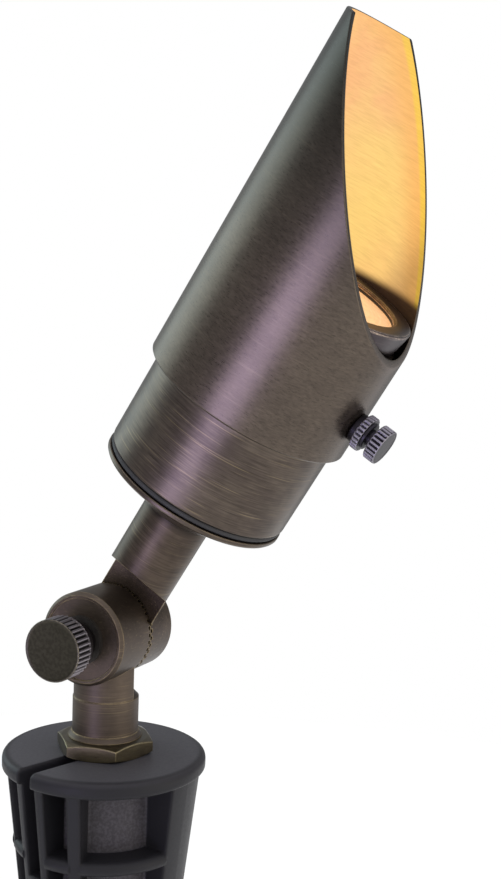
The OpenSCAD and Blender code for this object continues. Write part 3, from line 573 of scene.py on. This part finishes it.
def shroud_wall_material():
    """The inside of the shroud, with the lamp's light painted on as glow in front of the lens ring's
    painted shadow and dark behind it.
    """
    material, g = start_material("shroud_inside_lit")
    coord = local_coords(g, HEAD)
    parts = g.split(coord)
    x = parts[0]
    s = parts[2]
    marks = g.noise(g.stretch(coord, (170, 170, 1900)), 1.0, 3.0, 0.65)
    # The painted shadow's edge lies a little askew
    lit = g.rise(g.math("SUBTRACT", s, g.times(x, 0.137)), LENS_RING_S + 0.3, LENS_RING_S + 3.7)
    # Depth behind the mouth's slanted plane
    sine = math.sin(MOUTH_ANGLE)
    cosine = math.cos(MOUTH_ANGLE)
    plane = g.math("ADD", g.times(x, -sine), (MOUTH_S * cosine + SHROUD_R * sine) * MM)
    depth = g.math("SUBTRACT", plane, g.times(s, cosine))
    patch = g.noise(coord, 60.0, 3.0, 0.55)
    warm = g.mix(g.ramp(patch, 0.4, 0.62), rgb(1.0, 0.515, 0.205), rgb(1.0, 0.575, 0.205))
    for spot in BRIGHT_SPOTS:
        distance = g.length(g.vector("SUBTRACT", coord, Vector(spot) * MM))
        warm = g.mix(g.rise(distance, 26, 4, 0.65), warm, rgb(1.04, 0.72, 0.2))
    warm = g.mix(g.rise(depth, 10, 2), warm, rgb(1.0, 0.52, 0.14))
    warm = g.mix(g.rise(depth, 2.2, 1.2), warm, rgb(1.0, 0.62, 0.07))
    # The painted light falls off toward the low end of the mouth
    low_end = g.times(g.rise(x, 1, 15), g.rise(s, 172, 142))
    tone = g.ramp(marks, 0.25, 0.75, 0.87, 1.07, smooth=False)
    tone = g.times(tone, g.math("MULTIPLY_ADD", low_end, -0.38, 1.0))
    # The lamp's light on the wall is painted on as glow
    g.surface({
        "Base Color": g.mix(g.ramp(marks, 0.3, 0.7), rgb(0.05, 0.036, 0.034), rgb(0.07, 0.05, 0.045)),
        "Metallic": 0.6,
        "Roughness": 0.5,
        "Emission Color": warm,
        "Emission Strength": g.times(g.times(lit, tone), 0.93),
    })
    return material


def lens_material():
    """Frosted glass in small cells, with the lamp's light behind it painted on as glow."""
    material, g = start_material("lens_lit")
    coord = local_coords(g, HEAD)
    cells = g.add("ShaderNodeTexVoronoi", {"Vector": coord, "Scale": 420.0}, feature="F1").outputs[0]
    radius = axis_radius(g, coord)
    streak = g.noise(coord, 60.0, 2.0, 0.5, g.times(radius, 25.0))
    warm = g.mix(g.ramp(streak, 0.35, 0.65), rgb(0.93, 0.52, 0.2), rgb(1.0, 0.64, 0.3))
    warm = g.mix(g.rise(radius, LENS_OPEN_R - 5.5, LENS_OPEN_R + 0.3), warm, rgb(1.0, 0.5, 0.2))
    # The light from behind the lens is painted on as glow
    g.surface({
        "Base Color": rgb(0.55, 0.48, 0.38),
        "Roughness": g.ramp(cells, 0.0, 0.6, 0.12, 0.25),
        "IOR": 1.45,
        "Transmission Weight": 0.35,
        "Emission Color": warm,
        "Emission Strength": g.ramp(cells, 0.1, 0.75, 0.6, 0.5),
        "Normal": g.bump(cells, 0.2, 0.3 * MM),
    })
    return material


# Carried nodes, each with its slot and its material

plan = {
    "ground_spike": ("spike_plastic", spike_material()),
    "stem_knuckle": ("bronze", bronze_stem),
    "arm_knuckle": ("bronze", bronze_arm),
    "knuckle_washer": ("bright_steel", washer_steel_shaded),
    "cap_seal_ring": ("black_rubber", rubber),
    "lens_gasket": ("black_rubber", rubber),
    "lens_glass": ("lens_glass", lens_material()),
    "lamp_face_ring": ("lamp_grey", lamp_grey),
    "lamp_optic": ("optic_clear", optic),
    "lamp_light_chips": ("light_chip", chips),
    "lamp_chip_board": ("board_white", board),
    "lamp_cooler": ("lamp_grey", lamp_grey),
    "lamp_base": ("ivory_ceramic", ceramic),
    "lamp_pins": ("bright_steel", steel),
    "lamp_socket": ("ivory_ceramic", ceramic),
    "socket_bracket": ("bright_steel", steel),
    "bracket_screws": ("bright_steel", steel),
    "socket_leads": ("lead_sleeve", sleeve),
    "arm_grommet": ("black_rubber", rubber),
    "shroud_slip_ring": ("black_rubber", rubber),
    "shroud_screw_tip": ("tip_nylon", nylon),
}
for name, (slot, material) in plan.items():
    obj = nodes[name]
    obj.data.materials.clear()
    obj.data.materials.append(material)

# Turned pieces of the head


def make_housing():
    """The plain tube, with the groove that the slip ring lies in."""
    edge = 0.45
    groove_r = HOUSE_R - 0.7
    groove_s = SLIP_S - FIT_CLEAR
    groove_end_s = SLIP_S + SLIP_W + FIT_CLEAR
    outline = rounded([
        (HOUSE_IN_R, HOUSE_S, 0),
        (HOUSE_R, HOUSE_S, edge),
        (HOUSE_R, groove_s, 0),
        (groove_r, groove_s, 0),
        (groove_r, groove_end_s, 0),
        (HOUSE_R, groove_end_s, 0),
        (HOUSE_R, HOUSE_END_S, edge),
        (HOUSE_IN_R, HOUSE_END_S, 0),
    ])
    dress(revolve("housing_tube", outline, HEAD), "housing", "head", "bronze", bronze_head)


def make_rear_cap():
    """A low cone with a rounded shoulder and a rim, and a plug that reaches into the housing."""
    bore_r = 9.3
    small_r = 13
    cone_r = HOUSE_R - 2.2
    bevel = 0.45
    dish_r = PLUG_R - 2.9
    floor_s = CAP_RIM_S + 1.6
    plug_s = CAP_RIM_S + 7.6
    outline = rounded([
        (bore_r, CAP_S, 0),
        (small_r, CAP_S, 0.35),
        (cone_r, CAP_SHOULDER_S, 0.5),
        (HOUSE_R - bevel, CAP_SHOULDER_S + bevel, 0.5),
        (HOUSE_R, CAP_SHOULDER_S + 1, 0.3),
        (HOUSE_R, CAP_RIM_S, 0.3),
        (PLUG_R, CAP_RIM_S, 0),
        (PLUG_R, plug_s, 0.3),
        (dish_r, plug_s, 0.3),
        (dish_r, floor_s, 0),
        (bore_r, floor_s, 0),
    ])
    dress(revolve("rear_cap_turned", outline, HEAD), "rear_cap", "head", "bronze", bronze_head)


def make_lens_ring():
    """The flared ring that holds the lens, with a plug that reaches into the housing."""
    in_r = PLUG_R - 1.1
    under_r = HOUSE_R - 0.9
    rim_r = HOUSE_R + 0.5
    bevel = 0.45
    plug_s = HOUSE_END_S - 8.5
    seat_s = HOUSE_END_S + SEAT_GAP
    lip_s = LENS_RING_S - 1.2
    outline = rounded([
        (in_r, plug_s, 0),
        (PLUG_R, plug_s, 0.2),
        (PLUG_R, seat_s, 0),
        (under_r, seat_s, 0.1),
        (rim_r, LENS_RING_S - 0.6, 0.15),
        (rim_r - bevel, LENS_RING_S, 0.15),
        (LENS_OPEN_R + bevel, LENS_RING_S, 0.2),
        (LENS_OPEN_R, LENS_RING_S - bevel, 0.15),
        (LENS_OPEN_R, lip_s, 0),
        (in_r, lip_s, 0),
    ])
    dress(revolve("lens_ring_turned", outline, HEAD), "lens_ring", "head", "bronze", bronze_ring)


# Shroud


def mouth_end(x):
    """Where a wall at a distance x from the axis, toward the screw, meets the slanted mouth or the tip."""
    return min(MOUTH_S + (SHROUD_R - x) * math.tan(MOUTH_ANGLE), SHROUD_END_S)


def shroud_turns(count):
    """Even turns round the shroud, and those where the slanted mouth meets the square tip."""
    corner_x = SHROUD_R - (SHROUD_END_S - MOUTH_S) / math.tan(MOUTH_ANGLE)
    turns = {2 * math.pi * j / count for j in range(count)}
    for r in (SHROUD_R, SHROUD_IN_R):
        corner = math.acos(corner_x / r)
        turns.update((corner, 2 * math.pi - corner))
    return sorted(turns)


def make_shroud():
    """A tube whose wall is drawn as one closed loop at each turn, with a hole for the thumb screw."""
    steps = 30
    shares = [k / steps for k in range(steps + 1)]
    low_bevel = 0.45
    in_bevel = 0.3
    # How far short of the mouth the outer and the inner wall end, for its soft edges
    out_short = 0.3
    in_short = 0.12
    rim_out_r = SHROUD_R - 0.28
    rim_in_r = SHROUD_IN_R + 0.2
    hole_r = 2.7
    bm = bmesh.new()
    loops = []
    for turn in shroud_turns(288):
        c = math.cos(turn)
        out_start = SHROUD_S + low_bevel
        out_run = mouth_end(SHROUD_R * c) - out_short - out_start
        in_start = SHROUD_S + in_bevel
        in_run = mouth_end(SHROUD_IN_R * c) - in_short - in_start
        wall = [(SHROUD_R - low_bevel, SHROUD_S)]
        wall += [(SHROUD_R, out_start + out_run * share) for share in shares]
        wall += [(r, mouth_end(r * c)) for r in (rim_out_r, rim_in_r)]
        wall += [(SHROUD_IN_R, in_start + in_run * share) for share in reversed(shares)]
        wall += [(SHROUD_IN_R + in_bevel, SHROUD_S)]
        loops.append([bm.verts.new((r * c, r * math.sin(turn), z)) for r, z in wall])
    count = len(loops[0])
    # The faces of the inner wall, which have the second material
    inside = range(len(shares) + 3, count - 2)
    for a, b in zip(loops, loops[1:] + loops[:1]):
        for i in range(count):
            k = (i + 1) % count
            face = bm.faces.new((a[i], a[k], b[k], b[i]))
            face.material_index = 1 if i in inside else 0
    tube = object_from("shroud_tube", bm, HEAD)
    drill(tube, SCREW, hole_r, SHROUD_R + 2)
    finish_mesh(tube, 28)
    dress(tube, "shroud", "glare_shroud", "shroud_bronze", bronze_shroud, shroud_wall_material())


# Knurled pieces


def knurl(count, depth, start, end, fade, inner_r):
    """The radius of a straight-knurled band, whose grooves fade out toward both of its ends."""

    def radius(r, z, turn):
        if r < inner_r:
            return r
        share = min(max((z - start) / fade, 0), 1) * min(max((end - z) / fade, 0), 1)
        groove = (0.5 + 0.5 * math.cos(count * turn)) ** 1.6
        return r - depth * groove * share

    return radius


def with_rings(outline, r, start, end, count):
    """An outline with evenly spaced points added along a band, so that its grooves can fade."""
    at = next(i for i, point in enumerate(outline) if point[1] > start)
    rings = [(r, start + (end - start) * k / count) for k in range(count + 1)]
    return outline[:at] + rings + outline[at:]


def make_knob():
    """The large thumb screw: shank, neck, cone, smooth collar, knurled band and a sunk face."""
    shank_r = 4
    shank_end = -12
    neck_r = 5.8
    collar_r = 8.7
    face_sink = 0.12
    sink_r = KNOB_FACE_R - 0.3
    grooves = 36
    outline = rounded([
        (0, shank_end, 0),
        (shank_r, shank_end, 0.5),
        (shank_r, KNOB_SEAT, 0),
        (neck_r, KNOB_SEAT, 0.2),
        (neck_r, KNOB_CONE, 0),
        (collar_r, KNOB_COLLAR, 0.5),
        (collar_r, KNOB_BAND, 0),
        (KNOB_R, KNOB_BAND + 0.02, 0.3),
        (KNOB_R, KNOB_FACE, 0.45),
        (KNOB_FACE_R, KNOB_FACE, 0),
        (sink_r, KNOB_FACE - face_sink, 0.1),
        (0, KNOB_FACE - face_sink, 0),
    ])
    outline = with_rings(outline, KNOB_R, KNOB_BAND + 0.4, KNOB_FACE - 0.6, 24)
    radius = knurl(grooves, depth=0.85, start=KNOB_BAND, end=KNOB_FACE - 0.25, fade=0.35, inner_r=8.9)
    knob = revolve("knurled_knob", outline, KNUCKLE, grooves * 14, radius, closed=False, angle=40)
    dress(knob, "knuckle_knob", "knob", "dark_metal", dark_metal)


def make_thumb_screw():
    """The small screw that holds the shroud: a shank and a knurled head with a sunk face."""
    shank_r = 2.5
    head_r = 5.55
    face_sink = 0.15
    sink_r = SCREW_FACE_R - 0.3
    grooves = 24
    outline = rounded([
        (0, SCREW_END, 0),
        (shank_r, SCREW_END, 0.3),
        (shank_r, SCREW_HEAD, 0),
        (head_r, SCREW_HEAD, 0.4),
        (head_r, SCREW_FACE, 0.55),
        (SCREW_FACE_R, SCREW_FACE, 0),
        (sink_r, SCREW_FACE - face_sink, 0.1),
        (0, SCREW_FACE - face_sink, 0),
    ])
    outline = with_rings(outline, head_r, SCREW_HEAD + 0.45, SCREW_FACE - 0.65, 12)
    radius = knurl(grooves, depth=0.72, start=SCREW_HEAD, end=SCREW_FACE - 0.2, fade=0.4, inner_r=4.9)
    screw = revolve("shroud_thumb_screw", outline, SCREW, grooves * 16, radius, closed=False, angle=40)
    dress(screw, "shroud_screw", "screw", "dark_metal", gun_metal)


def make_lock_ring():
    """The knurled ring under the thumb screw's head, with a hub toward the shroud and a low shoulder."""
    bore_r = 2.56
    hub_r = 4.5
    band_r = 5.6
    shoulder_r = 4.3
    grooves = 24
    outline = rounded([
        (bore_r, LOCK_SEAT, 0.1),
        (hub_r, LOCK_SEAT, 0.3),
        (hub_r, LOCK_BAND, 0),
        (band_r, LOCK_BAND, 0.4),
        (band_r, LOCK_BAND_END, 0.4),
        (shoulder_r, LOCK_BAND_END, 0.1),
        (shoulder_r, LOCK_TOP, 0.3),
        (bore_r, LOCK_TOP, 0.1),
    ])
    outline = with_rings(outline, band_r, LOCK_BAND + 0.45, LOCK_BAND_END - 0.45, 8)
    radius = knurl(grooves, depth=0.6, start=LOCK_BAND, end=LOCK_BAND_END, fade=0.35, inner_r=4.9)
    ring = revolve("shroud_lock_ring_knurled", outline, SCREW, grooves * 16, radius, angle=40)
    dress(ring, "shroud_lock_ring", "lock_ring", "dark_metal", gun_metal)


# Lock nut

# The outline draws the nut's sides at this radius, and nut_radius gives their true one
NUT_SIDES_R = 14


def soft_min(a, b, blend):
    """The lesser of two lengths, rounded over where they are alike."""
    least = min(a, b)
    return least - blend * math.log(math.exp((least - a) / blend) + math.exp((least - b) / blend))


def nut_radius(r, z, turn):
    """Six flats, cut back by a cone above and below."""
    if r < NUT_SIDES_R:
        return r
    sixth = math.pi / 3
    flat_r = NUT_AF / 2
    corner_r = flat_r / math.cos(sixth / 2)
    hexagon = flat_r / math.cos(turn % sixth - sixth / 2)
    rise = min(z - LIP_H, NUT_TOP - z)
    cone = NUT_FACE_R + (corner_r - NUT_FACE_R) * rise / NUT_CHAMFER
    return soft_min(hexagon, cone, 0.05)


def make_nut():
    """A thin hexagonal nut with rounded chamfers and a threaded bore, drawn plain."""
    bore_r = 10.36
    low_bevel_r = 10.7
    low_bevel = 0.3
    top_bevel_r = 10.9
    top_bevel = 0.5
    # Close rings where the chamfers' cones meet the flats
    steps = 14
    levels = [1.4 * NUT_CHAMFER * k / steps for k in range(steps + 1)]
    outline = [(bore_r, LIP_H + low_bevel), (low_bevel_r, LIP_H)]
    outline += [(NUT_SIDES_R, LIP_H + level) for level in levels]
    outline += [(NUT_SIDES_R, LIP_H + NUT_H / 2)]
    outline += [(NUT_SIDES_R, NUT_TOP - level) for level in reversed(levels)]
    outline += [(top_bevel_r, NUT_TOP), (bore_r, NUT_TOP - top_bevel)]
    turned = Matrix.Rotation(math.radians(NUT_TURN), 4, "Z")
    nut = revolve("hex_lock_nut", outline, turned, 6 * 40, nut_radius, angle=25)
    dress(nut, "lock_nut", "nut", "nut_brass", nut_metal)


# Camera, studio and floor

# The photograph's height and the camera's focal length, both in pixels
PHOTO_H = 879
FOCAL = 1412.58
SENSOR_H = 36
CAMERA_PLACE = (0.231961, -0.374007, 0.15614)
CAMERA_TURN = math.radians(26.1707)
CAMERA_RISE = math.radians(6.499)
CAMERA_ROLL = math.radians(2.001)

FLOOR_R = 650
FLOOR_GAP = 0.2

# The soft boxes of the studio: direction, half angle and softness in degrees, colour
BOXES = (
    ((0.55, -0.80, 0.02), 34, 30, (0.92, 0.89, 0.85)),
    ((0.95, 0.08, -0.10), 22, 18, (2.0, 1.9, 1.72)),
    ((0.1, -0.1, 0.99), 40, 25, (1.3, 1.3, 1.35)),
    ((-0.95, 0.10, 0.29), 18, 10, (1.8, 2.15, 2.15)),
    ((-0.11, -0.91, -0.36), 13, 9, (4.7, 4.3, 6.8)),
    ((0.42, 0.84, -0.33), 15, 10, (1.15, 1.12, 1.15)),
)


def toward_camera():
    """The direction from the object to the camera."""
    level = math.cos(CAMERA_RISE)
    return Vector((math.sin(CAMERA_TURN) * level, -math.cos(CAMERA_TURN) * level, math.sin(CAMERA_RISE)))


def make_camera():
    """The camera that fits the photograph."""
    back = toward_camera()
    right = Vector((math.cos(CAMERA_TURN), math.sin(CAMERA_TURN), 0))
    up = back.cross(right)
    rolled_right = right * math.cos(CAMERA_ROLL) + up * math.sin(CAMERA_ROLL)
    rolled_up = up * math.cos(CAMERA_ROLL) - right * math.sin(CAMERA_ROLL)
    data = bpy.data.cameras.new("camera")
    data.sensor_fit = "VERTICAL"
    data.sensor_height = SENSOR_H
    data.lens = FOCAL / PHOTO_H * SENSOR_H
    data.clip_start = 0.01
    camera = bpy.data.objects.new("camera", data)
    bpy.context.scene.collection.objects.link(camera)
    turned = Matrix((rolled_right, rolled_up, back)).transposed().to_4x4()
    camera.matrix_world = Matrix.Translation(CAMERA_PLACE) @ turned
    bpy.context.scene.camera = camera


def seen_directly(g, *more):
    """1 for rays of the camera, those through glass and any more kinds that are named."""
    path = g.add("ShaderNodeLightPath", {}).outputs
    seen = g.math("MAXIMUM", path["Is Camera Ray"], path["Is Transmission Ray"])
    for kind in more:
        seen = g.math("MAXIMUM", seen, path[kind])
    return seen


def make_studio():
    """Grey surroundings with soft boxes, seen as plain white by the camera."""
    world = bpy.data.worlds.new("studio")
    bpy.context.scene.world = world
    world.use_nodes = True
    g = Graph(world.node_tree)
    direction = g.read("ShaderNodeTexCoord", "Generated")
    behind = g.dot(direction, tuple(-toward_camera()))
    light = g.mix(g.ramp(behind, 0.0, 0.6), rgb(0.42, 0.42, 0.43), rgb(0.31, 0.32, 0.325))
    # Straight behind the object its surroundings are white, as in the photograph
    light = g.mix(g.ramp(behind, 0.975, 0.995), light, rgb(1, 1, 1))
    for box, half, soft, color in BOXES:
        edge = math.cos(math.radians(half + soft))
        core = math.cos(math.radians(max(half - soft, 0)))
        near = g.ramp(g.dot(direction, tuple(Vector(box).normalized())), edge, core)
        light = g.mix(near, light, rgb(*color))
    lit = g.add("ShaderNodeBackground", {"Color": light, "Strength": 1.0})
    white = g.add("ShaderNodeBackground", {"Color": rgb(1, 1, 1), "Strength": 1.0})
    both = g.add("ShaderNodeMixShader", {0: seen_directly(g), 1: lit.outputs[0], 2: white.outputs[0]})
    g.output(both, "ShaderNodeOutputWorld")


def make_floor():
    """A pale floor just under the spike's point, which glows for the camera so that it looks white."""
    bm = bmesh.new()
    bmesh.ops.create_circle(bm, cap_ends=True, segments=96, radius=FLOOR_R)
    floor = object_from("floor", bm, Matrix.Translation((0, 0, -(SPIKE_DEPTH + FLOOR_GAP) * MM)))
    material, g = start_material("floor_pale")
    coord = g.read("ShaderNodeTexCoord", "Object")
    grain = g.ramp(g.noise(coord, 40.0), 0.3, 0.7, 0.84, 0.88)
    matte = g.add("ShaderNodeBsdfDiffuse", {"Color": g.join(grain, grain, grain)})
    glow = g.add("ShaderNodeEmission", {"Color": rgb(1, 1, 1), "Strength": 1.12})
    share = g.times(seen_directly(g, "Is Glossy Ray"), 0.75)
    g.output(g.add("ShaderNodeMixShader", {0: share, 1: matte.outputs[0], 2: glow.outputs[0]}))
    floor.data.materials.append(material)


make_housing()
make_rear_cap()
make_lens_ring()
make_shroud()
make_knob()
make_thumb_screw()
make_lock_ring()
make_nut()
make_camera()
make_studio()
make_floor()
bpy.context.scene.view_settings.view_transform = "Standard"

bpy.context.view_layer.update()
